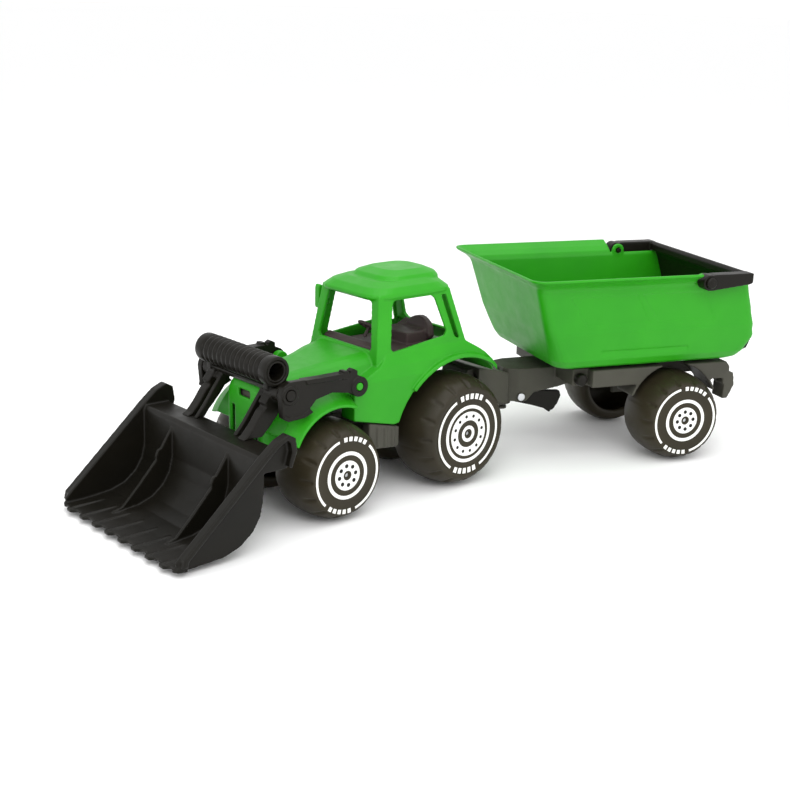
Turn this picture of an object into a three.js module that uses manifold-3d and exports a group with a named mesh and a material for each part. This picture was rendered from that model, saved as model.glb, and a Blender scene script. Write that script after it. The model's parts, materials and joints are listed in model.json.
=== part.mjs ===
// Toy farm tractor with a front loader and a tipping trailer, in millimetres, +Z up.
// Working frame of the numbers below: X forward from the front axle, Y to the tractor's
// left, Z up from the ground. The whole assembly is shifted at the end so that the centre
// of its bounding box, on the ground, is the origin.
import * as THREE from 'three';
import * as BGU from 'three/addons/utils/BufferGeometryUtils.js';
import Module from 'manifold-3d';

const wasm = await Module();
wasm.setup();

// ---- driving dimensions -------------------------------------------------------------
const SHIFT_X = 187.965, SHIFT_Y = -40.995;      // puts the bounding box centre on the origin
const GROUND = -5.5;                         // floor level in the working frame
const WHEEL_Z = 45, WHEEL_R = WHEEL_Z - GROUND, WHEEL_W = 60;   // front and trailer wheels
const REAR_Z = 55.5, REAR_R = REAR_Z - GROUND, REAR_W = 60;     // tractor rear wheels
const FRONT_FACE_Y = 90, REAR_FACE_Y = 83;   // outer wheel faces from the centre line
const WHEELBASE = 170;
const AXLE_R = 2.5;                          // steel axle rods
const HITCH_X = -299.7;                      // hitch pin behind the front axle
const TRAILER_YAW = -20.2;                   // degrees, trailer swung towards the left side
const TRAILER_AXLE = -181.7;                 // trailer axle behind the hitch pin
const TRAILER_FACE_Y = 112.2;
const PIVOT = [-25.5, 129.5];                    // loader arm pivot (x, z)
const KNEE = [59.5, 134];                      // bucket tilt pivot (x, z)
const GRIP = [66, 155.5], GRIP_R = 15;       // carrying grip axis (x, z)
const BUCKET_W = 107;                        // half width of the bucket
const BED_HINGE = [-246, 97];             // tipper hinge (trailer x, z)
const GATE_HINGE = [-197, 205.5];              // tailgate hinge (trailer x, z)

// ---- materials ----------------------------------------------------------------------
const mat = (c, r, m = 0) => new THREE.MeshStandardMaterial({ color: c, roughness: r, metalness: m });
const GREEN = mat('#3fae35', 0.38), BLACK = mat('#22211d', 0.42), GREY = mat('#4b4a46', 0.5);
const TYRE = mat('#201f1b', 0.48), STEEL = mat('#b9bcc0', 0.3, 1), CABIN = mat('#3a3330', 0.55);

// ---- geometry helpers ---------------------------------------------------------------
const clean = (g) => {
  g.deleteAttribute('normal'); g.deleteAttribute('uv');
  return BGU.mergeVertices(g, 1e-4);
};
const solid = (g) => {
  const c = clean(g.clone()), pos = new Float32Array(c.attributes.position.array), tri = new Uint32Array(c.index.array);
  let m = new wasm.Manifold(new wasm.Mesh({ numProp: 3, vertProperties: pos, triVerts: tri }));
  if (m.volume() < 0) {
    for (let i = 0; i < tri.length; i += 3) { const k = tri[i]; tri[i] = tri[i + 1]; tri[i + 1] = k; }
    m = new wasm.Manifold(new wasm.Mesh({ numProp: 3, vertProperties: pos, triVerts: tri }));
  }
  return m;
};
const geo = (m) => {
  const o = m.getMesh(), g = new THREE.BufferGeometry();
  g.setAttribute('position', new THREE.BufferAttribute(new Float32Array(o.vertProperties), 3));
  g.setIndex(new THREE.BufferAttribute(new Uint32Array(o.triVerts), 1));
  const f = g.toNonIndexed(); f.computeVertexNormals();
  return f;
};
const add = (...s) => s.reduce((a, b) => a.add(b));
const cut = (a, ...s) => s.reduce((p, q) => p.subtract(q), a);
const both = (a, b) => a.intersect(b);
const shape = (pts) => new THREE.Shape(pts.map((p) => new THREE.Vector2(p[0], p[1])));
// polygon in (x, z), extruded over y0..y1
const prismY = (pts, y0, y1) => {
  const g = new THREE.ExtrudeGeometry(shape(pts), { depth: y1 - y0, bevelEnabled: false, curveSegments: 4 });
  g.applyMatrix4(new THREE.Matrix4().set(1, 0, 0, 0, 0, 0, -1, y1, 0, 1, 0, 0, 0, 0, 0, 1));
  return solid(g);
};
// polygon in (y, z), extruded over x0..x1
const prismX = (pts, x0, x1) => {
  const g = new THREE.ExtrudeGeometry(shape(pts), { depth: x1 - x0, bevelEnabled: false, curveSegments: 4 });
  g.applyMatrix4(new THREE.Matrix4().set(0, 0, 1, x0, 1, 0, 0, 0, 0, 1, 0, 0, 0, 0, 0, 1));
  return solid(g);
};
// polygon in (x, y), extruded over z0..z1
const prismZ = (pts, z0, z1) => {
  const g = new THREE.ExtrudeGeometry(shape(pts), { depth: z1 - z0, bevelEnabled: false, curveSegments: 4 });
  g.translate(0, 0, z0);
  return solid(g);
};
const block = (x0, x1, y0, y1, z0, z1) =>
  solid(new THREE.BoxGeometry(x1 - x0, y1 - y0, z1 - z0).translate((x0 + x1) / 2, (y0 + y1) / 2, (z0 + z1) / 2));
// cylinder about Y through (x, z)
const rodY = (x, z, r, y0, y1, n = 20) =>
  solid(new THREE.CylinderGeometry(r, r, y1 - y0, n).translate(x, (y0 + y1) / 2, z));
const rodZ = (x, y, r, z0, z1, n = 20) =>
  solid(new THREE.CylinderGeometry(r, r, z1 - z0, n).rotateX(Math.PI / 2).translate(x, y, (z0 + z1) / 2));
// closed profile of (radius, y), turned about Y
const turned = (prof, n = 40) => solid(new THREE.LatheGeometry(prof.map((p) => new THREE.Vector2(p[0], p[1])), n));
const arc = (cx, cz, r, a0, a1, n) => Array.from({ length: n + 1 }, (_, i) => {
  const a = THREE.MathUtils.degToRad(a0 + (a1 - a0) * i / n);
  return [cx + r * Math.cos(a), cz + r * Math.sin(a)];
});
const mirrorY = (m) => m.mirror([0, 1, 0]);
// loft through rings of points with equal counts, capped at both ends
const loft = (rings) => {
  const n = rings[0].length, pos = [], idx = [];
  for (const r of rings) for (const p of r) pos.push(...p);
  for (let k = 0; k + 1 < rings.length; k++) for (let i = 0; i < n; i++) {
    const j = (i + 1) % n, a = k * n + i, b = k * n + j, c = a + n, d = b + n;
    idx.push(a, b, d, a, d, c);
  }
  for (let i = 1; i + 1 < n; i++) { idx.push(0, i + 1, i); const o = (rings.length - 1) * n; idx.push(o, o + i, o + i + 1); }
  const g = new THREE.BufferGeometry();
  g.setAttribute('position', new THREE.Float32BufferAttribute(pos, 3)); g.setIndex(idx);
  return solid(g);
};
// rounded rectangle ring at height z
const ring = (x0, x1, w, r, z, n = 4) => {
  const out = [], c = [[x1 - r, w - r, 0], [x0 + r, w - r, 90], [x0 + r, -w + r, 180], [x1 - r, -w + r, 270]];
  for (const [cx, cy, a] of c) for (let i = 0; i <= n; i++) {
    const t = THREE.MathUtils.degToRad(a + 90 * i / n);
    out.push([cx + r * Math.cos(t), cy + r * Math.sin(t), z]);
  }
  return out;
};

const root = new THREE.Group();
const tractor = new THREE.Group(), trailer = new THREE.Group();
root.add(tractor, trailer);
root.position.set(SHIFT_X, SHIFT_Y, -GROUND);
trailer.position.set(HITCH_X, 0, 0);
trailer.rotation.z = THREE.MathUtils.degToRad(TRAILER_YAW);
const put = (group, name, s, material) => {
  const m = new THREE.Mesh(geo(s), material); m.name = name; group.add(m); return m;
};

// ---- tractor body: one green moulded shell -------------------------------------------
const ARCH = [-170, 48];
// bonnet: rounded sections along X, closed towards the nose
const bonnetRing = (x, w, top, r, bot) => {
  const out = [[x, w, bot]];
  for (let i = 0; i <= 5; i++) { const t = Math.PI / 2 * i / 5; out.push([x, w - r + r * Math.cos(t), top - r + r * Math.sin(t)]); }
  for (let i = 5; i >= 0; i--) { const t = Math.PI / 2 * i / 5; out.push([x, -(w - r + r * Math.cos(t)), top - r + r * Math.sin(t)]); }
  out.push([x, -w, bot]);
  return out;
};
const bonnet = (t, bot) => loft([[-64, 53, 152, 20], [-40, 51, 148.5, 22], [-24, 46, 145.5, 22], [-8, 40.5, 142.8, 20], [20, 36.5, 139.5, 17], [44, 33, 136.5, 15],
  [55 - t, 31.5, 134, 13], [60 - t, 30, 130, 12], [62.5 - t, 28, 125.5, 10]].map(([x, w, z, r]) => bonnetRing(x, w - t, z - t, r, bot)));
const rearHalf = [[-27, 66], [-200, 66], [-226, 59], [-241, 44]];
const sideProf = [[-27, 90], [-27, 127], [-45, 132.5], [-64, 141], [-74, 149], [-90, 158], [-184, 158], [-187, 151], [-203, 141.5], [-222, 128], [-236, 118.5], [-241, 113], [-240, 108],
  ...arc(ARCH[0], ARCH[1], 88, 139, 20, 16), [-80, 77.5]];
const halfFront = [[65.6, 60], [65.6, 127], [62.5, 139], [56.5, 150], [54.5, 154], [53.5, 162]];
const sym = (h) => [...h, ...h.slice().reverse().map(([a, b]) => [-a, b])];
const symP = (h) => [...h, ...h.slice().reverse().map(([a, b]) => [a, -b])];
let cabLow = both(both(prismY(sideProf, -90, 90), prismX(sym(halfFront), -260, -20)), prismZ(symP(rearHalf), 60, 170));
let shell = add(cabLow, both(bonnet(0, 66), prismY([[70, 60], [70, 150], [-70, 160], [-70, 120], [-24, 116], [8, 112], [30, 100], [45, 80], [48.5, 66], [48.5, 60]], -60, 60)));
// cab posts and roof
const cabSide = (t) => [[t ? -63 - t : -60.5, t ? 141 : 132], [-71 - t, 210], [-168 + t, 210], [t ? -187.5 + t : -193, t ? 141 : 132]];
const cabFront = (t) => sym([[t ? 57.2 - t : 58.4, t ? 141 : 132], [47.5 - t, 211]]);
shell = add(shell, both(prismY(cabSide(0), -60, 60), prismX(cabFront(0), -200, -50)));
const roofRings = (d, e) => [
  ring(-173 - d, -67.5 + d, 48.5 + d, 18, 205 + (e ? 1.6 : 0), 5), ring(-176 - d, -63 + d, 50.5 + d, 22, 208 - e, 5), ring(-176 - d, -63.5 + d, 50 + d, 22, 211 - e, 5),
  ring(-169 - d, -71 + d, 45 + d, 22, 217 - e, 5), ring(-161 - d, -84 + d, 37 + d, 20, 221 - e, 5)];
shell = add(shell, loft(roofRings(0, 0)));
const humpPts = (d, e) => [ring(-174 - d, -89 + d, 37 + d, 22, 210 - e, 5), ring(-173 - d, -91 + d, 36 + d, 22, 221 - e, 5), ring(-170 - d, -95 + d, 33 + d, 20, 225 - e, 5), ring(-160 - d, -108 + d, 23 + d, 15, 229.4 - e, 5)];
shell = add(shell, loft(humpPts(0, 0)));
// hollow inside, open below
const inner = both(both(prismY([[-30.5, 40], [-30.5, 123.5], [-46, 128.5], [-65, 137.2], [-78, 147.6], [-88, 158], [-182, 158], [-190, 145], [-203, 136.5],
  ...arc(ARCH[0], ARCH[1], 91.5, 112, 163, 6), [-94, 40]], -90, 90), prismX(sym([[62.4, 30], [62.4, 126], [59.5, 138], [53.4, 149], [51.2, 154], [50, 160]]), -260, -20)), prismZ(symP([[-30.2, 62.6], [-200, 62.6], [-224, 56.5], [-262, 40]]), 30, 200));
shell = cut(shell, inner);
shell = cut(shell, bonnet(3.2, 40));
shell = cut(shell, both(prismY(cabSide(3.2), -60, 60), prismX(cabFront(3.2), -200, -50)));
shell = cut(shell, loft(roofRings(-4, 3.4)));
shell = cut(shell, loft(humpPts(-4, 3.4)));
// windscreen, side windows, corner slots, rear window
shell = cut(shell, prismX([[-43, 154], [43, 154], [44.5, 157], [36.5, 202], [34, 204.6], [-34, 204.6], [-36.5, 202], [-44.5, 157]], -80, -40));
const sideWin = [[-86, 152], [-82.5, 155.5], [-88.5, 200], [-92, 204], [-142, 204], [-147, 200.5], [-160.5, 164], [-157, 160]];
shell = cut(shell, prismY(sideWin, -80, 80));
shell = cut(shell, prismY([[-162.5, 203], [-156, 203], [-171.5, 157], [-178.5, 154]], -80, 80));
shell = cut(shell, prismX([[-34, 161], [34, 161], [38, 165], [34.5, 199], [31.5, 202.5], [-31.5, 202.5], [-34.5, 199], [-38, 165]], -200, -160));
// grille slots in the nose
shell = cut(shell, prismX([[-23, 74], [-17, 74], [-17, 104], [-23, 104]], 50, 80), prismX([[23, 74], [17, 74], [17, 104], [23, 104]], 50, 80));
shell = cut(shell, prismX([[-10, 115.5], [10, 115.5], [10, 123], [-10, 123]], 50, 80));
// front fenders: curved strips over the front wheels, joined to the bonnet side
const fender = (y0, y1, r0, r1, z0, z1) => {
  const N = 14, rr = [];
  for (let i = 0; i <= N; i++) {
    const a = THREE.MathUtils.degToRad(114 - 90 * i / N), c = Math.cos(a), s = Math.sin(a);
    rr.push([[r0 * c, y0, z0 + r0 * s], [r1 * c, y1, z1 + r1 * s], [(r1 - 3.2) * c, y1 - 0.4, z1 + (r1 - 3.2) * s], [(r0 - 3.2) * c, y0, z0 + (r0 - 3.2) * s]]);
  }
  return loft(rr);
};
const fl = fender(24, 58, 63, 63, 60, 60), fo = fender(57, 77, 63.2, 57, 60.2, 57);
const fenderL = add(fl, fo);
shell = add(shell, fenderL, mirrorY(fenderL));
// clear the inside of the bonnet again where the fender roots pass through it
shell = cut(shell, both(bonnet(3.4, 40), prismY([[70, 40], [70, 150], [-60, 150], [-60, 40]], -60, 60)));
// loader bosses on the cab sides
const bossL = add(rodY(PIVOT[0], PIVOT[1], 8.5, 58, 65.9, 20), rodY(PIVOT[0], PIVOT[1], 4.2, 65, 76.6, 16));
shell = add(shell, bossL, mirrorY(bossL));
// rear fender lips
const lip = (() => { const a = arc(ARCH[0], ARCH[1], 92.5, 44, 136, 14), b = arc(ARCH[0], ARCH[1], 88, 44, 136, 14).reverse(); return prismY([...a, ...b], 62.8, 69.5); })();
shell = add(shell, both(lip, prismZ([[-60, 60], [-60, 72], [-208, 72], [-236, 60]], 60, 200)), mirrorY(both(lip, prismZ([[-60, 60], [-60, 72], [-208, 72], [-236, 60]], 60, 200))));
// right-hand mirror on the front post
const mirror = add(block(-80, -74, -62, -45, 186, 189.5), prismY([[-78.5, 179], [-73.5, 179], [-73, 182], [-73, 202], [-74, 205], [-77.5, 205], [-79, 202]], -64, -56.5));
shell = add(shell, mirror);
// seats of the body on the underframe
const seatRib = add(block(-52, -44, 24, 64, 100, 104), block(-52, -44, 24, 28, 86.6, 104), block(-52, -44, -28, -24, 86.6, 104), block(-52, -44, -64, -24, 100, 104));
shell = add(shell, seatRib);
put(tractor, 'tractor_body', shell, GREEN);

// ---- tractor chassis: dark grey underframe, steps and rear deck ------------------------
let ch = prismY([[50, 58], [52, 72], [50, 82], [40, 86], [-20, 86], [-60, 86], [-110, 84], [-225, 84], [-225, 58], [-190, 42], [-92, 40], [-20, 34], [20, 34]], -20, 20);
ch = cut(ch, prismY([[46, 20], [46, 78], [-30, 78], [-36, 20]], -16.5, 16.5), prismY([[-46, 20], [-46, 80], [-104, 80], [-214, 80], [-214, 20]], -16.5, 16.5));
// axle blocks
ch = add(ch, block(-8, 8, -21, 21, 36, 56), block(-178, -162, -20.5, 20.5, 46, 66));
// side plate between bonnet and front wheel
const sidePlate = add(prismY([[-26.4, 84], [-26.4, 114], [-10, 110.5], [4, 106], [24, 98], [24, 84]], 25.4, 28.6), block(-26.4, 24, 18, 28.6, 80, 84));
ch = add(ch, sidePlate, mirrorY(sidePlate));
// step boards under the doors
const step = add(block(-86, -49, 18, 60, 66, 70), prismY([[-48, 83.6], [-48, 70], [-52, 65], [-54, 55], [-84, 52], [-88, 54], [-88, 74]], 51, 64.4), block(-81, -78, 64, 66, 55, 74), block(-71, -68, 64, 66, 56, 76), block(-61, -58, 64, 66, 57, 79));
ch = add(ch, step, mirrorY(step));
// rear deck over the hitch with its upright end plate
ch = add(ch, prismY([[-232.5, 106.5], [-236, 106.5], [-272, 97.5], [-280.5, 94], [-280.5, 57], [-276.5, 57], [-276.5, 90], [-232.5, 100]], -31, 31));
const deckSide = prismY([[-232.5, 101], [-280, 90], [-280, 57], [-262, 62], [-232.5, 78]], 27.6, 31);
ch = add(ch, deckSide, mirrorY(deckSide), prismY([[-214, 66], [-214, 84], [-226, 104], [-236, 104], [-236, 60], [-222, 58]], -20, 20));
// tow tongue with the hole for the hitch pin
ch = add(ch, block(-300, -224, -10, 10, 49, 54.5), rodZ(HITCH_X, 0, 11.5, 49, 54.5, 24), block(-280.5, -276.5, -12, 12, 49, 60), block(-232, -218, -14, 14, 49, 62));
ch = cut(ch, rodZ(HITCH_X, 0, 4.1, 40, 80, 16));
ch = cut(ch, rodY(0, WHEEL_Z, AXLE_R + 0.35, -30, 30, 16), rodY(-WHEELBASE, REAR_Z, AXLE_R + 0.35, -30, 30, 16));
put(tractor, 'tractor_chassis', ch, GREY);

// nose insert filling the grille slots from behind
let ni = add(prismY([[54.5, 70], [58.2, 74], [58.2, 112], [57, 120], [46, 124], [42, 124], [42, 86.4], [54.5, 86.4]], -20, 20), block(54.5, 58.2, -24, 24, 72, 106));
ni = cut(ni, block(40, 53, -16.5, 16.5, 70, 120), block(40, 54.4, -30, 30, 60, 86.3));
put(tractor, 'nose_insert', ni, GREY);

// cab floor with seat on a pedestal, and dashboard
let cab = add(block(-176, -68, -45, 45, 143, 146.5), prismY([[-132, 145], [-132, 159], [-156, 159], [-160, 145]], -22, 22), block(-150, -112, -15, 15, 84.3, 145));
const back = both(prismY([[-160, 150], [-158, 156], [-166, 190], [-172, 190], [-166, 150]], -34, 34), prismX([...arc(6, 150, 22, 10, 170, 12), [-24, 146], [24, 146]], -180, -150));
cab = add(cab, back, prismY([[-156, 145], [-156, 160], [-168, 165], [-168, 145]], -22, 22));
put(tractor, 'seat_and_floor', cab, CABIN);
let dash = prismY([[-70.5, 146.9], [-70.5, 152], [-72, 155], [-78, 157.5], [-84, 154], [-86, 146.9]], -44, 44);
put(tractor, 'dashboard', dash, CABIN);
const sw = new THREE.TorusGeometry(12, 1.7, 8, 28);
const wheelS = add(solid(sw), solid(new THREE.CylinderGeometry(1.7, 1.7, 23.5, 10)), solid(new THREE.CylinderGeometry(1.7, 1.7, 23.5, 10).rotateZ(Math.PI / 2)),
  solid(new THREE.CylinderGeometry(1.9, 1.9, 12, 12).rotateX(Math.PI / 2).translate(0, 0, -6)));
const swm = put(tractor, 'steering_wheel', wheelS, CABIN);
swm.rotation.y = THREE.MathUtils.degToRad(-32); swm.position.set(-98, 0, 167);

// ---- wheels --------------------------------------------------------------------------
// y runs from the outer face (0) inwards (negative); open at the back, with a hub tube
const wheel = (R, W, lugs) => {
  const b = AXLE_R - 0.0;
  const prof = [[b + 0.02, 0], [R * 0.80, 0], [R * 0.845, -1.2], [R * 0.885, -4], [R * 0.93, -9.5], [R * 0.972, -17], [R * 0.995, -26], [R, -36], [R * 0.985, -W + 10], [R * 0.94, -W + 3], [R * 0.88, -W],
    [R * 0.72, -W], [R * 0.70, -W + 6], [R * 0.84, -W + 16], [R * 0.86, -26], [R * 0.74, -6], [10, -4], [8, -8], [7.5, -W + 4], [b + 0.02, -W + 4]].reverse();
  const n = lugs * 2;
  const g = clean(new THREE.LatheGeometry([...prof, prof[0]].map((p) => new THREE.Vector2(p[0], p[1])), n));
  const p = g.attributes.position;
  for (let i = 0; i < p.count; i++) {
    const x = p.getX(i), y = p.getY(i), z = p.getZ(i), r = Math.hypot(x, z);
    if (r > R * 0.83 && y > -12 && y < -0.5) {
      const k = Math.round(Math.atan2(z, x) / (2 * Math.PI) * n + 2 * n) % 2;
      if (k === 0) { const q = (r - 1.7) / r; p.setXYZ(i, x * q, y, z * q); }
    }
  }
  let s = solid(g);
  return s;
};
const placeWheel = (group, name, R, W, lugs, x, z, faceY) => {
  const m = put(group, name, wheel(R, W, lugs), TYRE);
  m.position.set(x, faceY, z);
  if (faceY < 0) m.rotation.z = Math.PI;
  return m;
};
placeWheel(tractor, 'front_wheel_left', WHEEL_R, WHEEL_W, 14, 0, WHEEL_Z, FRONT_FACE_Y);
placeWheel(tractor, 'front_wheel_right', WHEEL_R, WHEEL_W, 14, 0, WHEEL_Z, -FRONT_FACE_Y);
placeWheel(tractor, 'rear_wheel_left', REAR_R, REAR_W, 16, -WHEELBASE, REAR_Z, REAR_FACE_Y);
placeWheel(tractor, 'rear_wheel_right', REAR_R, REAR_W, 16, -WHEELBASE, REAR_Z, -REAR_FACE_Y);
placeWheel(trailer, 'trailer_wheel_left', WHEEL_R, WHEEL_W, 14, TRAILER_AXLE, WHEEL_Z, TRAILER_FACE_Y);
placeWheel(trailer, 'trailer_wheel_right', WHEEL_R, WHEEL_W, 14, TRAILER_AXLE, WHEEL_Z, -TRAILER_FACE_Y);
const axle = (group, name, x, z, faceY) => put(group, name, rodY(x, z, AXLE_R - 0.3, -faceY + 1.5, faceY - 1.5, 16), STEEL);
axle(tractor, 'front_axle', 0, WHEEL_Z, FRONT_FACE_Y);
axle(tractor, 'rear_axle', -WHEELBASE, REAR_Z, REAR_FACE_Y);
axle(trailer, 'trailer_axle', TRAILER_AXLE, WHEEL_Z, TRAILER_FACE_Y);

// ---- loader ----------------------------------------------------------------------------
const armPts = [...arc(PIVOT[0], PIVOT[1], 10.5, 120, 292, 12), [-14, 124.5], [8, 128.5], [28, 124.5], [38, 114], [46, 109.5], [62, 108.5], [68, 114], [70, 134], [67, 143.5], [60, 147], [20, 146], [-8, 146], [-16, 144.5], [-22, 142]];
const arm = (side) => {
  let a = prismY(armPts, 67, 74.6);
  a = add(a, rodY(PIVOT[0], PIVOT[1], 10.5, 67, 76, 24));
  a = add(a, prismY([[-8, 141], [20, 141.2], [40, 142], [42, 146.6], [20, 146], [-8, 146]], 64, 76.2));
  a = add(a, prismY([[-24, 136], [-14, 140], [-14, 147], [-18, 149], [-23, 146.5]], 67, 74.6), prismY([[-12, 140], [-4, 140], [-5, 148.5], [-11, 148]], 67, 76.2), rodY(KNEE[0], KNEE[1], 9.5, 67, 76, 20));
  a = add(a, prismY([[32, 113], [42, 108.8], [62, 108], [68, 112], [67, 116], [61, 112], [44, 113], [36, 117]], 67, 76.2));
  a = cut(a, rodY(PIVOT[0], PIVOT[1], 4.6, 60, 80, 20), rodY(KNEE[0], KNEE[1], 3.4, 60, 80, 16));
  a = cut(a, rodY(KNEE[0], KNEE[1], 6, 73.8, 80, 20));
  return side > 0 ? a : mirrorY(a);
};
put(tractor, 'loader_arm_left', arm(1), BLACK);
put(tractor, 'loader_arm_right', arm(-1), BLACK);
// snap pins of the bucket tilt pivot
const kneePin = add(rodY(KNEE[0], KNEE[1], 3.0, 57.5, 74.4, 16), rodY(KNEE[0], KNEE[1], 5.4, 74.2, 76.8, 20));
put(tractor, 'tilt_pin_left', kneePin, BLACK);
put(tractor, 'tilt_pin_right', mirrorY(kneePin), BLACK);

// grip yoke: two stems rising from the bucket flange to the carrying grip
const stemPts = [[101, 91.2], [96, 94], [88, 103], [79, 116], [74, 120], [76, 124.5], [69, 133], [64, 140], [61, 147], [50, 144], [47, 132], [52, 122], [61, 110], [70, 100], [79, 91.2]];
let stem = prismY(stemPts, 44, 56);
stem = add(stem, rodY(KNEE[0], KNEE[1], 10, 44, 65.9, 20));
const strut = prismY([[98, 91.2], [88, 103], [70, 128], [64, 132], [60, 128], [88, 91.2]], 33, 38);
stem = add(stem, strut, prismY([[70, 128], [64, 136], [58, 132], [62, 122]], 33, 46));
stem = cut(stem, rodY(KNEE[0], KNEE[1], 3.3, 57, 70, 16));
const about = (r0, r1, y0, y1, n = 28) => (r0 > 0 ? turned([[r0, y0], [r1, y0], [r1, y1], [r0, y1], [r0, y0]].reverse(), n) : turned([[0, y0], [r1, y0], [r1, y1], [0, y1]].reverse(), n)).translate([GRIP[0], 0, GRIP[1]]);
let yoke = add(stem, mirrorY(stem), prismY([[70, 138], [68, 147], [58, 149], [52, 143], [56, 136], [66, 133]], -46, 46));
yoke = cut(yoke, about(0, GRIP_R + 0.9, -62.6, 62.6));
const saddle = add(block(GRIP[0] - 6, GRIP[0] + 6, 46.3, 53.7, 136, 148), block(GRIP[0] - 6, GRIP[0] + 6, -53.7, -46.3, 136, 148));
yoke = add(yoke, about(8.6, 11.2, -61.6, 61.6, 24), cut(saddle, about(0, 9.5, -70, 70)));
put(tractor, 'grip_yoke', yoke, BLACK);
// the ribbed sleeve is a separate moulding over the cross tube
const sleeveProf = [[11.5, -62], [GRIP_R, -62], [GRIP_R, -50]];
for (let i = 0; i < 12; i++) { const y = -48 + i * 8; sleeveProf.push([GRIP_R - 1.5, y + 0.8], [GRIP_R + 0.3, y + 2.8], [GRIP_R + 0.3, y + 5.6]); }
sleeveProf.push([GRIP_R, 50], [GRIP_R, 62], [11.5, 62]);
let sleeve = turned([...sleeveProf, sleeveProf[0]].reverse(), 22).translate([GRIP[0], 0, GRIP[1]]);
sleeve = cut(sleeve, block(GRIP[0] - 6.4, GRIP[0] + 6.4, 45.9, 54.1, 130, 150), block(GRIP[0] - 6.4, GRIP[0] + 6.4, -54.1, -45.9, 130, 150));
put(tractor, 'grip_sleeve', sleeve, BLACK);

// bucket: curved scoop with toothed edge, side cheeks with horns, and a rear top flange
const scoopOut = [[205, 0.6], [180, 1.6], [155, 3.4], [138, 9.5], [124, 20.5], [115.5, 34], [111.8, 50], [111.2, 76], [86, 76], [84, 80], [86, 92], [113, 92]];
const scoopIn = [[210, 4], [180, 5.4], [156, 8], [140, 13.5], [127.5, 23.5], [119.5, 36], [115.6, 51], [115, 88]];
let bk = prismY([...scoopOut, ...scoopIn.slice().reverse()], -BUCKET_W, BUCKET_W);
bk = cut(bk, block(89.5, 107.5, -BUCKET_W + 4, BUCKET_W - 4, 60, 87.5));
const cheek = prismY([[205, 0.6], [180, 1.6], [155, 3.4], [138, 9.5], [124, 20.5], [115.5, 34], [111.8, 50], [111.2, 76], [86, 76], [82, 80], [78, 92], [80, 104], [86, 110], [92, 108], [110, 98], [200, 17], [208, 9]], BUCKET_W - 3, BUCKET_W + 0.5);
const rim = prismY([[205, 6], [203, 14], [114, 95], [100, 106.5], [88, 111.5], [80, 107], [78, 94], [84, 78], [88, 80], [84, 94], [86, 103], [89, 106], [98, 101.5], [110, 91.5], [198, 11.4], [199, 6.1]], BUCKET_W - 3, BUCKET_W + 8);
bk = add(bk, cheek, mirrorY(cheek), rim, mirrorY(rim));
for (let i = 0; i < 8; i++) {
  const y = -88.9 + i * 25.4;
  bk = add(bk, prismZ([[200, y - 8], [207, y - 7.4], [213, y - 4], [213, y + 4], [207, y + 7.4], [200, y + 8]], 0.6, 4.4), prismY([[168, 5.2], [172, 6.8], [206, 6], [211, 4], [206, 3], [170, 4]], y - 1.2, y + 1.2));
}
const lobe = add(prismZ([[196, 98], [206, 99], [210, 104], [207, 110], [198, 112]], 0.6, 4.7));
bk = add(bk, lobe, mirrorY(lobe));
for (const y of [-51, 51]) {
  bk = add(bk, both(prismY([[184, 3.2], [155, 5], [138, 11], [124, 22], [116, 36], [113, 52], [113, 84.5], [116.5, 80], [128, 62.5], [131.5, 61], [134.5, 55], [134, 51], [154.5, 28.5], [173.5, 9.4], [184, 6.8]], y - 2, y + 2), block(100, 200, y - 5, y + 5, 0, 90)));
}
put(tractor, 'bucket', bk.translate([1.5, 0, -1.2]), BLACK);
// ---- trailer (its own frame: hitch pin at x = 0) ----------------------------------------
put(trailer, 'hitch_pin', add(rodZ(0, 0, 3.6, 44.5, 90, 16), rodZ(0, 0, 7, 42.5, 45.7, 20)), GREY);
// drawbar hood, open below
const hoodPlan = (d) => [[6 - d, 16 - d], [2, 21 - d], [-10, 26 - d], [-80, 28 - d], [-80, -28 + d], [-10, -26 + d], [2, -21 + d], [6 - d, -16 + d]];
let tc = both(prismZ(hoodPlan(0), 40, 95.5), prismY([[10, 95.5], [10, 56.5], [-20, 55.5], [-30, 66], [-60, 71], [-80, 76], [-80, 95.5]], -40, 40));
tc = cut(tc, prismZ(hoodPlan(3.2), 30, 92));
tc = add(tc, rodZ(0, 0, 8, 55.2, 93, 20));
// wide tray, open below
let tr = prismY([[-56, 103.5], [-56, 83], [-250, 83], [-255, 88], [-255, 97], [-250, 103.5]], -83, 83);
tr = cut(tr, prismY([[-59.4, 100.2], [-59.4, 60], [-251, 60], [-251.6, 96], [-248.6, 100.2]], -79.6, 79.6));
const archT = (r) => rodY(TRAILER_AXLE, WHEEL_Z + 4, r, -90, 90, 44);
tr = cut(tr, cut(archT(56), block(-300, 0, -47, 47, 0, 200)));
const archBand = both(both(cut(archT(59), archT(56)), block(-260, -100, -83, 83, 70, 103.5)), add(block(-260, -100, 47, 83, 60, 104), block(-260, -100, -83, -47, 60, 104)));
tr = add(tr, archBand);
const wellWall = (s) => both(prismY([[-240, 84], [-240, 102], [-124, 102], [-124, 84]], s > 0 ? 47 : -50, s > 0 ? 50 : -47), archT(59));
tr = add(tr, wellWall(1), wellWall(-1));
tc = add(tc, tr);
// notch for the latch knob at the left front corner
tc = cut(tc, block(-75, -50, 70, 90, 80, 110));
tc = add(tc, block(-76, -56, 66, 69.8, 83, 102), block(-78.4, -75, 66, 83, 83, 102));
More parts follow.
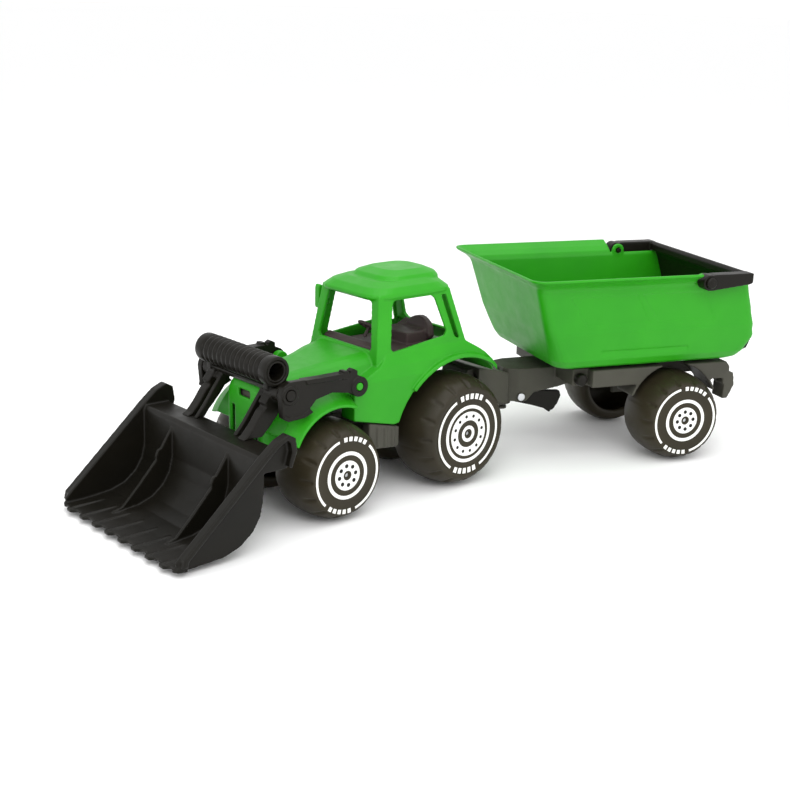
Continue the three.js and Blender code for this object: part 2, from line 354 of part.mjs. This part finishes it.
// axle carriers, bed rests, rear crossbar and light blocks
tc = add(tc, block(-192, -172, 43, 49, 36, 101), block(-192, -172, -49, -43, 36, 101));
tc = add(tc, block(-255, -247, 62, 83, 76, 97), block(-255, -247, -83, -62, 76, 97), prismY([[-250, 90], [-261, 89], [-263, 74], [-255, 58], [-248, 58]], 60, 83), prismY([[-250, 90], [-261, 89], [-263, 74], [-255, 58], [-248, 58]], -83, -60));
tc = add(tc, block(-100, -60, 30, 60, 102, 106.4), block(-100, -60, -60, -30, 102, 106.4));
tc = cut(tc, rodZ(0, 0, 3.9, 40, 91, 16), rodY(TRAILER_AXLE, WHEEL_Z, AXLE_R + 0.35, -60, 60, 16));
// hinge knuckles of the tipping bed
tc = add(tc, rodY(BED_HINGE[0], BED_HINGE[1], 5.5, -62, 62, 20));
tc = cut(tc, rodY(BED_HINGE[0], BED_HINGE[1], 2.9, -70, 70, 16), block(-258, -236, 27.4, 40.6, 90, 110), block(-258, -236, -40.6, -27.4, 90, 110));
// pivot hole of the support leg
tc = cut(tc, rodY(-13, 62, 2.9, -40, 40, 16));
// bearing of the latch bar
tc = cut(tc, rodY(-64, 92, 3.4, 60, 72, 16));
put(trailer, 'trailer_chassis', tc, GREY);

put(trailer, 'leg_pin', add(rodY(-13, 62, 2.5, -25.6, 27.5, 14), rodY(-13, 62, 4.6, 27, 29, 16)), STEEL);
let leg = prismY([...arc(-13, 62, 8.5, -60, 120, 8), [-40, 66], [-66, 64], [-68, 58], [-64, 48], [-54, 38.5], [-47, 43.5], [-30, 49]], 13.5, 20.5);
leg = add(leg, rodY(-55, 47.5, 7, 10, 20.5, 20));
leg = cut(leg, rodY(-13, 62, 2.9, 0, 40, 16));
put(trailer, 'support_leg', leg, BLACK);
let latch = add(rodY(-64, 92, 3.0, 61, 74, 16), turned([[0, 71.6], [6.6, 71.6], [7.4, 73], [7.4, 77], [6.2, 79.6], [3.4, 81], [0, 81.4]].reverse(), 20).translate([-64, 0, 92]), prismY([[-62, 90], [-62, 94.5], [-76, 98.5], [-80, 96], [-76, 91]], 61, 64.5));
put(trailer, 'latch_bar', latch, BLACK);

// tipping bed: flared rim, rounded bottom edges, open at the back
let bed = loft([ring(-260, -33, 80, 16, 107, 5), ring(-267, -27, 87, 18, 110.5, 5), ring(-274, -22, 91.5, 18, 118, 5), ring(-281.5, -16, 94.5, 14, 134, 5), ring(-277.5, -10, 97, 12, 150, 5), ring(-262, 5, 100, 10, 200, 5),
  ring(-260, 6.5, 102, 10, 204, 5), ring(-257, 11, 108, 13, 208.5, 5), ring(-254, 17, 115, 15, 212, 5), ring(-250, 19.5, 118.6, 16, 213.6, 5), ring(-250, 20, 119.2, 16, 216.2, 5)]);
bed = cut(bed, loft([ring(-400, -35, 78, 14, 110.4, 5), ring(-400, -29, 85, 16, 113.6, 5), ring(-400, -25, 88.6, 16, 120, 5), ring(-400, -19, 91.4, 12, 134, 5), ring(-400, -13, 93.8, 10, 150, 5), ring(-400, 2, 96.8, 8, 200, 5),
  ring(-400, 3.6, 99, 8, 205.4, 5), ring(-400, 8, 105.6, 11, 210.6, 5), ring(-400, 15, 112.6, 13, 214.2, 5), ring(-400, 17.5, 116.4, 14, 216.2, 5), ring(-400, 17.5, 116.4, 14, 230, 5)]));
// rim is left out where the tailgate arms lie
bed = cut(bed, add(block(-400, -186.5, 100.4, 140, 198.8, 230), block(-400, -186.5, -140, -100.4, 198.8, 230), block(-400, -186.5, -140, 140, 203, 230)));
const ear = rodY(GATE_HINGE[0], GATE_HINGE[1], 8, 96.6, 100.2, 24);
bed = add(bed, ear, mirrorY(ear));
// recessed lower side panels and drafted side facets
const panel = prismY([[-78, 117], [-190, 117], [-190, 129], [-78, 129]], 92.2, 100);
const facet = (a, b) => prismY([[a, 193], [a - 24, 159], [b - 20, 159], [b, 193]], 97.1, 104);
bed = cut(bed, panel, mirrorY(panel));
const fac = both(add(facet(-32, -116), facet(-122, -200)), cut(loft([ring(-300, 40, 110, 5, 140), ring(-300, 40, 110, 5, 205)]), loft([ring(-400, 60, 95.9, 5, 140), ring(-400, 60, 99.3, 5, 205)])));
bed = cut(bed, fac, mirrorY(fac));
// floor ribs and hinge lugs
const lug = prismY([[BED_HINGE[0] - 5.6, BED_HINGE[1]], ...arc(BED_HINGE[0], BED_HINGE[1], 5.6, 190, 350, 8), [BED_HINGE[0] + 5.6, BED_HINGE[1]], [BED_HINGE[0] + 9, 109], [BED_HINGE[0] - 9, 109]], 28, 40);
bed = add(bed, lug, mirrorY(lug));
bed = cut(bed, rodY(BED_HINGE[0], BED_HINGE[1], 2.9, 20, 60, 16), rodY(BED_HINGE[0], BED_HINGE[1], 2.9, -60, -20, 16));
bed = cut(bed, rodY(GATE_HINGE[0], GATE_HINGE[1], 3.3, -130, 130, 16));
put(trailer, 'tipper_bed', bed, GREEN);
put(trailer, 'bed_hinge_rod', rodY(BED_HINGE[0], BED_HINGE[1], 2.5, -61.5, 61.5, 14), STEEL);

// tailgate: cross band with arms along the rims and a panel between the side walls
let gate = prismY([[-244.5, 203.6], [-252.5, 203.6], [-252.5, 211.6], [-250, 214.6], [-247, 214.6], [-244.5, 211.6]], -117, 117);
const gArm = add(prismY([[-200, 196.4], [-250, 201.8], [-252.5, 204], [-252.5, 214.4], [-204, 214.4], [-197, 213]], 101.4, 117), rodY(GATE_HINGE[0], GATE_HINGE[1], 9, 101.4, 117, 24));
gate = add(gate, both(gArm, cut(block(-300, -180, 100, 120, 190, 230), block(-238, -207, 104.6, 113.8, 190, 211.2))), mirrorY(both(gArm, cut(block(-300, -180, 100, 120, 190, 230), block(-238, -207, 104.6, 113.8, 190, 211.2)))));
gate = add(gate, both(prismY([[-246.5, 206], [-251.5, 206], [-257, 196], [-276, 136], [-271, 117], [-266, 114.5], [-264.5, 118], [-270.5, 136], [-252, 196]], -95, 95), loft([ring(-300, -200, 77, 4, 113), ring(-300, -200, 88, 4, 120), ring(-300, -200, 90.6, 4, 134), ring(-300, -200, 93, 4, 150), ring(-300, -200, 96, 4, 200), ring(-300, -200, 96, 4, 208)])));
for (const y of [-60, -20, 20, 60]) gate = add(gate, prismY([[-253, 200], [-256, 197], [-274, 138], [-278, 138], [-258, 199]], y - 2, y + 2));
gate = cut(gate, rodY(GATE_HINGE[0], GATE_HINGE[1], 3.3, -130, 130, 16));
put(trailer, 'tailgate', gate, BLACK);
const knob = add(rodY(GATE_HINGE[0], GATE_HINGE[1], 2.9, 94.2, 117.6, 14), turned([[0, 117.4], [6.4, 117.4], [6.4, 119.4], [4.8, 121], [0, 121.6]].reverse(), 20).translate([GATE_HINGE[0], 0, GATE_HINGE[1]]));
put(trailer, 'tailgate_knob_left', knob, BLACK);
put(trailer, 'tailgate_knob_right', mirrorY(knob), BLACK);

export default root;
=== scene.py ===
import json
import math

import bpy
import bmesh
from mathutils import Matrix, Vector


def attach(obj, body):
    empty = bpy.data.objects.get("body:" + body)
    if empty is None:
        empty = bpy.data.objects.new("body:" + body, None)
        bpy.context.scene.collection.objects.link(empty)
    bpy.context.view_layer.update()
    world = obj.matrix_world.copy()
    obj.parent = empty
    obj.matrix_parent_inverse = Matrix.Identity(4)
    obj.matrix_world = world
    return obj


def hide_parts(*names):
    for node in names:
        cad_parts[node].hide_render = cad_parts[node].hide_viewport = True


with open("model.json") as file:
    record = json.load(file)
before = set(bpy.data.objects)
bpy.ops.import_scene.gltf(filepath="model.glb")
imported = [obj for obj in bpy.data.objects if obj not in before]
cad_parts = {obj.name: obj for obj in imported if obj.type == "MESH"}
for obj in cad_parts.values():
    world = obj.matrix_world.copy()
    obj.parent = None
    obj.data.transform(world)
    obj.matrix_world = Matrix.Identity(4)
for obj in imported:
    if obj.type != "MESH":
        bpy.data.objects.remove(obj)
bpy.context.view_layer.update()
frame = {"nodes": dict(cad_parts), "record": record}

# ---- shared numbers (millimetres, the part's working frame) -------------------------
SX, SY, SZ = 187.965, -40.995, 5.5
HITCH = -299.7
YAW = math.radians(-20.2)


def T(x, y, z):
    return Vector(((x + SX) / 1000, (y + SY) / 1000, (z + SZ) / 1000))


def L(x, y, z):
    c, s = math.cos(YAW), math.sin(YAW)
    return T(HITCH + x * c - y * s, x * s + y * c, z)


# ---- materials ----------------------------------------------------------------------
def srgb(r, g, b):
    def f(v):
        v /= 255.0
        return v / 12.92 if v <= 0.04045 else ((v + 0.055) / 1.055) ** 2.4
    return (f(r), f(g), f(b), 1.0)


def plastic(name, base, dark, rough, grain=900.0, grain_strength=0.05, coat=0.12, sss=0.0, scuff=0.25, spec=0.2):
    m = bpy.data.materials.new(name)
    m.use_nodes = True
    nt = m.node_tree
    nt.nodes.clear()
    N = nt.nodes.new
    link = nt.links.new
    out = N("ShaderNodeOutputMaterial")
    p = N("ShaderNodeBsdfPrincipled")
    link(p.outputs["BSDF"], out.inputs["Surface"])
    tc = N("ShaderNodeTexCoord")
    # slow colour drift of the moulding
    n1 = N("ShaderNodeTexNoise")
    n1.inputs["Scale"].default_value = 14.0
    n1.inputs["Detail"].default_value = 3.0
    n1.inputs["Roughness"].default_value = 0.55
    link(tc.outputs["Object"], n1.inputs["Vector"])
    r1 = N("ShaderNodeValToRGB")
    r1.color_ramp.elements[0].position = 0.3
    r1.color_ramp.elements[0].color = dark
    r1.color_ramp.elements[1].position = 0.62
    r1.color_ramp.elements[1].color = base
    link(n1.outputs["Fac"], r1.inputs["Fac"])
    link(r1.outputs["Color"], p.inputs["Base Color"])
    # worn and glossy patches
    n2 = N("ShaderNodeTexNoise")
    n2.inputs["Scale"].default_value = 60.0
    n2.inputs["Detail"].default_value = 6.0
    n2.inputs["Roughness"].default_value = 0.6
    link(tc.outputs["Object"], n2.inputs["Vector"])
    mr = N("ShaderNodeMapRange")
    mr.inputs["From Min"].default_value = 0.3
    mr.inputs["From Max"].default_value = 0.7
    mr.inputs["To Min"].default_value = rough - 0.05
    mr.inputs["To Max"].default_value = rough + 0.08
    link(n2.outputs["Fac"], mr.inputs["Value"])
    link(mr.outputs["Result"], p.inputs["Roughness"])
    # fine mould grain plus very soft waviness
    n3 = N("ShaderNodeTexNoise")
    n3.inputs["Scale"].default_value = grain
    n3.inputs["Detail"].default_value = 2.0
    link(tc.outputs["Object"], n3.inputs["Vector"])
    n4 = N("ShaderNodeTexNoise")
    n4.inputs["Scale"].default_value = 35.0
    n4.inputs["Detail"].default_value = 1.0
    link(tc.outputs["Object"], n4.inputs["Vector"])
    b1 = N("ShaderNodeBump")
    b1.inputs["Strength"].default_value = grain_strength
    b1.inputs["Distance"].default_value = 0.0004
    link(n3.outputs["Fac"], b1.inputs["Height"])
    b2 = N("ShaderNodeBump")
    b2.inputs["Strength"].default_value = scuff
    b2.inputs["Distance"].default_value = 0.0006
    link(n4.outputs["Fac"], b2.inputs["Height"])
    link(b1.outputs["Normal"], b2.inputs["Normal"])
    link(b2.outputs["Normal"], p.inputs["Normal"])
    p.inputs["Specular IOR Level"].default_value = spec
    p.inputs["Coat Weight"].default_value = coat
    p.inputs["Coat Roughness"].default_value = 0.25
    if sss:
        p.inputs["Subsurface Weight"].default_value = sss
        p.inputs["Subsurface Radius"].default_value = (0.4, 1.0, 0.3)
        p.inputs["Subsurface Scale"].default_value = 0.002
    return m


GREEN = plastic("green_plastic", srgb(38, 146, 15), srgb(33, 138, 14), 0.42, coat=0.02, sss=0.03, spec=0.25)
BLACK = plastic("black_plastic", srgb(20, 18, 13), srgb(16, 15, 11), 0.38, coat=0.0, spec=0.16)
GREY = plastic("grey_plastic", srgb(68, 67, 59), srgb(60, 59, 52), 0.5, coat=0.0)
TYRE = plastic("wheel_plastic", srgb(46, 41, 28), srgb(39, 35, 25), 0.42, coat=0.02, scuff=0.4)
CABIN = plastic("cab_plastic", srgb(70, 58, 58), srgb(58, 48, 48), 0.5, coat=0.03)
PRINT = plastic("white_print", srgb(240, 240, 236), srgb(228, 228, 224), 0.38, coat=0.2, grain_strength=0.02, scuff=0.05)
# painted shade: flat dark discs laid where the wheel disc has holes, standing in for the dark inside of the holes
HOLE_SHADE = plastic("painted_hole_shade", srgb(22, 20, 17), srgb(18, 17, 14), 0.45, coat=0.05, grain_strength=0.02, scuff=0.05)


def steel(name):
    m = bpy.data.materials.new(name)
    m.use_nodes = True
    nt = m.node_tree
    p = nt.nodes["Principled BSDF"]
    p.inputs["Base Color"].default_value = (0.55, 0.56, 0.58, 1)
    p.inputs["Metallic"].default_value = 1.0
    tc = nt.nodes.new("ShaderNodeTexCoord")
    mp = nt.nodes.new("ShaderNodeMapping")
    mp.inputs["Scale"].default_value = (400.0, 30.0, 400.0)
    n = nt.nodes.new("ShaderNodeTexNoise")
    n.inputs["Scale"].default_value = 3.0
    n.inputs["Detail"].default_value = 4.0
    mr = nt.nodes.new("ShaderNodeMapRange")
    mr.inputs["To Min"].default_value = 0.22
    mr.inputs["To Max"].default_value = 0.42
    b = nt.nodes.new("ShaderNodeBump")
    b.inputs["Strength"].default_value = 0.15
    b.inputs["Distance"].default_value = 0.0002
    nt.links.new(tc.outputs["Object"], mp.inputs["Vector"])
    nt.links.new(mp.outputs["Vector"], n.inputs["Vector"])
    nt.links.new(n.outputs["Fac"], mr.inputs["Value"])
    nt.links.new(mr.outputs["Result"], p.inputs["Roughness"])
    nt.links.new(n.outputs["Fac"], b.inputs["Height"])
    nt.links.new(b.outputs["Normal"], p.inputs["Normal"])
    return m


STEEL = steel("steel_rod")
BY_SLOT = {"green_plastic": GREEN, "black_plastic": BLACK, "grey_plastic": GREY, "wheel_plastic": TYRE, "cab_plastic": CABIN, "steel": STEEL}
slot_of = {p["node"]: p["material_slot"] for p in frame["record"]["subparts"]}
for name, o in frame["nodes"].items():
    o.data.materials.clear()
    o.data.materials.append(BY_SLOT[slot_of[name]])
body_of_node = {}
for b, names in frame["record"]["behaviour"]["bodies"].items():
    for n in names:
        body_of_node[n] = b


# ---- moulded rounding of the carried-over nodes ----------------------------------------
def mould(name, voxel, rounds=6):
    """Rebuilds a node as one even skin with soft moulded edges, in the same place."""
    src = frame["nodes"][name]
    me = src.data.copy()
    o = bpy.data.objects.new(name + "_moulded", me)
    bpy.context.scene.collection.objects.link(o)
    o.matrix_world = src.matrix_world.copy()
    bm = bmesh.new()
    bm.from_mesh(me)
    bmesh.ops.remove_doubles(bm, verts=bm.verts, dist=1e-6)
    bm.to_mesh(me)
    bm.free()
    r = o.modifiers.new("skin", "REMESH")
    r.mode = "VOXEL"
    r.voxel_size = voxel / 1000.0
    r.use_smooth_shade = True
    s = o.modifiers.new("round", "SMOOTH")
    s.factor = 0.5
    s.iterations = rounds
    d = o.modifiers.new("thin", "DECIMATE")
    d.ratio = 0.4
    dg = bpy.context.evaluated_depsgraph_get()
    new = bpy.data.meshes.new_from_object(o.evaluated_get(dg), depsgraph=dg)
    o.modifiers.clear()
    o.data = new
    o.data.materials.clear()
    o.data.materials.append(BY_SLOT[slot_of[name]])
    for p in o.data.polygons:
        p.use_smooth = True
    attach(o, body_of_node[name])
    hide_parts(name)
    return o


def soften(name, width, segments=2, angle=32):
    """Small edge rounding by modifiers on the node itself."""
    o = frame["nodes"][name]
    w = o.modifiers.new("weld", "WELD")
    w.merge_threshold = 1e-6
    b = o.modifiers.new("edge", "BEVEL")
    b.width = width / 1000.0
    b.segments = segments
    b.limit_method = "ANGLE"
    b.angle_limit = math.radians(angle)
    b.use_clamp_overlap = True
    b.harden_normals = False
    for p in o.data.polygons:
        p.use_smooth = True
    n = o.modifiers.new("shade", "WEIGHTED_NORMAL")
    n.keep_sharp = False
    n.weight = 80


Q = 1.0
for name, vox, rounds in [("tractor_body", 0.85, 4), ("tipper_bed", 0.95, 3), ("bucket", 0.95, 3), ("loader_arm_left", 0.6, 4), ("loader_arm_right", 0.6, 4),
                          ("grip_yoke", 0.75, 4), ("tailgate", 0.95, 3), ("tractor_chassis", 1.0, 3), ("trailer_chassis", 1.05, 3), ("support_leg", 0.6, 4),
                          ("seat_and_floor", 0.9, 4), ("dashboard", 0.7, 3), ("nose_insert", 0.8, 2)]:
    mould(name, vox * Q, rounds if Q == 1.0 else 2)
for name, w in [("steering_wheel", 0.3), ("tilt_pin_left", 0.8), ("tilt_pin_right", 0.8), ("hitch_pin", 0.8), ("leg_pin", 0.6), ("latch_bar", 0.5),
                ("tailgate_knob_left", 0.5), ("tailgate_knob_right", 0.5), ("bed_hinge_rod", 0.4), ("front_axle", 0.4), ("rear_axle", 0.4), ("trailer_axle", 0.4)]:
    soften(name, w)


def new_object(name, bm, material, body, node=None, smooth=True):
    me = bpy.data.meshes.new(name)
    bmesh.ops.recalc_face_normals(bm, faces=bm.faces)
    bm.to_mesh(me)
    bm.free()
    for p in me.polygons:
        p.use_smooth = smooth
    o = bpy.data.objects.new(name, me)
    bpy.context.scene.collection.objects.link(o)
    me.materials.append(material)
    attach(o, body)
    if node:
        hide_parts(node)
    return o


# ---- wheels: blow moulded, lugs on the outer shoulder, shallow tread grooves ---------------
def smoothstep(a, b, x):
    t = max(0.0, min(1.0, (x - a) / (b - a)))
    return t * t * (3 - 2 * t)


def wheel(name, node, body, R, W, unit, lugs, grooves, place, face, side, phase):
    # d is the depth behind the outer face
    prof = [(2.6, 0.0), (0.20 * unit - 0.5, 0.0), (0.20 * unit, 0.5), (0.20 * unit + 0.6, 0.0), (0.80 * unit, 0.0), (0.88 * unit, 0.0), (1.12 * unit, 0.0), (1.16 * unit, 0.35), (1.2 * unit, 0.55),
            (0.735 * R, 0.55), (0.75 * R, 0.3), (0.765 * R, 0.0), (0.80 * R, 0.1), (0.825 * R, 0.7), (0.845 * R, 1.7), (0.865 * R, 3.0), (0.885 * R, 4.6), (0.905 * R, 6.6), (0.925 * R, 9.0), (0.945 * R, 12.0),
            (0.96 * R, 15.0), (0.975 * R, 18.5), (0.988 * R, 23.0), (0.996 * R, 28.5), (0.999 * R, 34), (0.999 * R, 40), (0.993 * R, 46), (0.978 * R, 51), (0.95 * R, 55.5), (0.92 * R, 58.5), (0.885 * R, 59.8),
            (0.84 * R, 60.0), (0.78 * R, 60.0), (0.72 * R, 59.6), (0.70 * R, 57), (0.71 * R, 52), (0.80 * R, 46), (0.85 * R, 40), (0.86 * R, 26), (0.80 * R, 12), (0.74 * R, 6), (10, 4.2), (8.2, 7), (7.5, 56), (2.6, 56)]
    prof = [(r, d * W / 60.0) for r, d in prof]
    n = lugs * 14
    bm = bmesh.new()
    rows = []
    for i in range(n):
        a = 2 * math.pi * i / n
        # lug wave: wide blocks, narrow gaps
        u = (a * lugs / (2 * math.pi)) % 1.0
        gap = smoothstep(0.0, 0.16, u) * (1 - smoothstep(0.84, 1.0, u))
        g = (a * grooves / (2 * math.pi) + 0.37) % 1.0
        gr = 1 - smoothstep(0.0, 0.03, g) * (1 - smoothstep(0.97, 1.0, g))
        row = []
        for r, d in prof:
            q = r
            if r > 0.82 * R and d < 30:
                k = smoothstep(0.3, 3.0, d) * (1 - smoothstep(9.0, 17.0, d))
                q = r - 2.3 * (1 - gap) * k
                k2 = smoothstep(8, 12, d)
                q -= 0.55 * gr * k2
            elif r > 0.95 * R and d < 52:
                q = r - 0.55 * gr
            row.append(bm.verts.new(place(q * math.cos(a), face - side * d, q * math.sin(a))))
        rows.append(row)
    m = len(prof)
    for i in range(n):
        A, B = rows[i], rows[(i + 1) % n]
        for k in range(m):
            k2 = (k + 1) % m
            bm.faces.new((A[k], B[k], B[k2], A[k2]))
    o = new_object(name, bm, TYRE, body, node)
    return o


def prints(name, body, unit, rear, place, face, side, phase):
    """White printed rings, plain arcs and short bars, laid 0.25 mm on the outer face."""
    bm = bmesh.new()
    h0, h1 = face - side * 0.1, face + side * 0.22

    def band(r0, r1, a0, a1, n):
        full = abs(a1 - a0) > 2 * math.pi - 1e-6
        V = []
        for i in range(n if full else n + 1):
            a = a0 + (a1 - a0) * i / n
            c, s = math.cos(a), math.sin(a)
            V.append([bm.verts.new(place(r * c, y, r * s)) for r, y in ((r0, h0), (r1, h0), (r1, h1), (r0, h1))])
        cnt = len(V)
        for i in range(n):
            A, B = V[i], V[(i + 1) % cnt]
            for k in range(4):
                bm.faces.new((A[k], B[k], B[(k + 1) % 4], A[(k + 1) % 4]))
        if not full:
            bm.faces.new(V[0])
            bm.faces.new(list(reversed(V[-1])))

    tau = 2 * math.pi
    if rear:
        band(0.18 * unit, 0.30 * unit, 0, tau, 96)
        band(0.50 * unit, 0.82 * unit, 0, tau, 144)
        band(0.94 * unit, 1.06 * unit, 0, tau, 144)
        rc, w, bars = 1.385 * unit, 0.045 * unit, 1.385 * unit
    else:
        band(0.22 * unit, 0.67 * unit, 0, tau, 120)
        band(0.92 * unit, 1.08 * unit, 0, tau, 144)
        rc, w, bars = 1.645 * unit, 0.055 * unit, 1.645 * unit
    half = math.radians(31)
    up = math.pi / 2 + phase
    for c0 in (up, up + math.pi):
        band(rc - w, rc + w, c0 + half, c0 + math.pi - half, 72)
        for k in range(-2, 3):
            ca = c0 + math.radians(9.6) * k
            band(bars - 0.1 * unit, bars + 0.1 * unit, ca - math.radians(3.0), ca + math.radians(3.0), 6)
    o = new_object(name, bm, PRINT, body, smooth=False)
    # the holes of the disc, drawn as flat dark discs on the face: painted shade inside the holes
    bd = bmesh.new()
    cnt, rr, rad = (12, 0.66 * unit, 0.062 * unit) if rear else (8, 0.445 * unit, 0.095 * unit)
    y0, y1 = face + side * 0.05, face + side * 0.34
    for k in range(cnt):
        a = up + tau * (k + 0.5) / cnt
        cx, cz = rr * math.cos(a), rr * math.sin(a)
        ra, rb = [], []
        for i in range(20):
            t = tau * i / 20
            ra.append(bd.verts.new(place(cx + rad * math.cos(t), y0, cz + rad * math.sin(t))))
            rb.append(bd.verts.new(place(cx + rad * math.cos(t), y1, cz + rad * math.sin(t))))
        bd.faces.new(ra)
        bd.faces.new(list(reversed(rb)))
        for i in range(20):
            bd.faces.new((ra[i], rb[i], rb[(i + 1) % 20], ra[(i + 1) % 20]))
    new_object(name + "_painted_hole_shade", bd, HOLE_SHADE, body, smooth=False)
    return o


def at(frame_fn, cx, cz):
    return lambda x, y, z: frame_fn(cx + x, y, cz + z)


for side, word in ((1, "left"), (-1, "right")):
    f = at(T, 0, 45)
    wheel("wheel_front_" + word, "front_wheel_" + word, "front_axle_set", 50.5, 60, 23.0, 14, 11, f, 90 * side, side, 0)
    prints("print_front_" + word, "front_axle_set", 23.0, False, f, 90 * side, side, math.radians(15))
    f = at(T, -170, 55.5)
    wheel("wheel_rear_" + word, "rear_wheel_" + word, "rear_axle_set", 61.0, 60, 29.9, 16, 12, f, 83 * side, side, 0)
    prints("print_rear_" + word, "rear_axle_set", 29.9, True, f, 83 * side, side, math.radians(5))
    f = at(L, -181.7, 45)
    wheel("wheel_trailer_" + word, "trailer_wheel_" + word, "trailer_axle_set", 50.5, 60, 23.0, 14, 11, f, 112.2 * side, side, 0)
    prints("print_trailer_" + word, "trailer_axle_set", 23.0, False, f, 112.2 * side, side, math.radians(18))

# ---- ribbed grip sleeve --------------------------------------------------------------------
GX, GZ, GR = 66.0, 155.5, 15.0
bm = bmesh.new()
prof = [(11.4, -61.9), (GR - 1.2, -61.9), (GR - 0.2, -61.2), (GR, -60.2), (GR, -51.4), (GR - 0.3, -50.4), (GR - 1.4, -49.4)]
for i in range(12):
    y = -48 + i * 8
    for t in range(8):
        w = t / 8
        prof.append((GR - 1.5 + 1.8 * (0.5 - 0.5 * math.cos(2 * math.pi * w)) ** 0.7, y + 8 * w))
prof += [(GR - 1.5, 48), (GR - 1.4, 49.4), (GR - 0.3, 50.4), (GR, 51.4), (GR, 60.2), (GR - 0.2, 61.2), (GR - 1.2, 61.9), (11.4, 61.9)]
rows = []
for i in range(72):
    a = 2 * math.pi * i / 72
    rows.append([bm.verts.new(T(GX + r * math.cos(a), y, GZ + r * math.sin(a))) for r, y in prof])
for i in range(72):
    A, B = rows[i], rows[(i + 1) % 72]
    for k in range(len(prof)):
        k2 = (k + 1) % len(prof)
        bm.faces.new((A[k], B[k], B[k2], A[k2]))
new_object("grip_ribbed", bm, BLACK, "bucket_set", "grip_sleeve")

# ---- floor, light and camera ------------------------------------------------------------------
def area(name, loc, target, size, power, size_y=None, colour=(1, 1, 1)):
    d = bpy.data.lights.new(name, "AREA")
    d.energy = power
    d.color = colour
    d.size = size
    if size_y:
        d.shape = "RECTANGLE"
        d.size_y = size_y
    o = bpy.data.objects.new(name, d)
    bpy.context.scene.collection.objects.link(o)
    o.location = loc
    o.rotation_euler = (Vector(target) - Vector(loc)).to_track_quat("-Z", "Y").to_euler()
    return o


floor_mesh = bpy.data.meshes.new("floor")
floor_mesh.from_pydata([(-60, -60, 0), (60, -60, 0), (60, 60, 0), (-60, 60, 0)], [], [(0, 1, 2, 3)])
floor = bpy.data.objects.new("floor", floor_mesh)
bpy.context.scene.collection.objects.link(floor)
fm = bpy.data.materials.new("floor_pale")
fm.use_nodes = True
fp = fm.node_tree.nodes["Principled BSDF"]
fp.inputs["Base Color"].default_value = (0.94, 0.94, 0.94, 1)
fp.inputs["Roughness"].default_value = 0.75
fp.inputs["Specular IOR Level"].default_value = 0.2
floor_mesh.materials.append(fm)

world = bpy.data.worlds.new("studio")
bpy.context.scene.world = world
world.use_nodes = True
bg = world.node_tree.nodes["Background"]
bg.inputs["Color"].default_value = (1, 1, 1, 1)
bg.inputs["Strength"].default_value = 1.06
area("key", (0.9, 1.3, 1.6), (0, 0, 0.1), 1.4, 16, 1.0)
area("top", (-0.2, 0.1, 1.9), (0, 0, 0), 1.8, 14, 1.4)
area("front", (1.7, 0.2, 0.7), (0.1, 0, 0.1), 1.0, 4, 0.8)
area("side", (-0.6, 1.9, 0.8), (-0.1, 0, 0.1), 1.2, 5, 0.9)

F_PX = 1382.48
B, E, RO = math.radians(40.18), math.radians(16.04), math.radians(-1.42)
hv = Vector((math.sin(B), math.cos(B), 0))
Z = Vector((0, 0, 1))
rv = Vector((-math.cos(B), math.sin(B), 0))
zv = -hv * math.cos(E) - Z * math.sin(E)
yv = -(Z * math.cos(E) - hv * math.sin(E))
c, s = math.cos(RO), math.sin(RO)
rv, yv = c * rv + s * yv, -s * rv + c * yv
cam_data = bpy.data.cameras.new("camera")
cam = bpy.data.objects.new("camera", cam_data)
bpy.context.scene.collection.objects.link(cam)
cam_data.sensor_width = 36.0
cam_data.lens = F_PX / 790.0 * 36.0
cam_data.shift_x = 6.45 / 790.0
cam_data.shift_y = 0.41 / 790.0
cam_data.clip_start = 0.05
cam_data.clip_end = 200
M = Matrix.Identity(4)
up, back = -yv, -zv
for i in range(3):
    M[i][0], M[i][1], M[i][2] = rv[i], up[i], back[i]
M.translation = T(809.8, 1109.3, 503.2)
cam.matrix_world = M
bpy.context.scene.view_settings.view_transform = "Standard"
bpy.context.scene.camera = cam
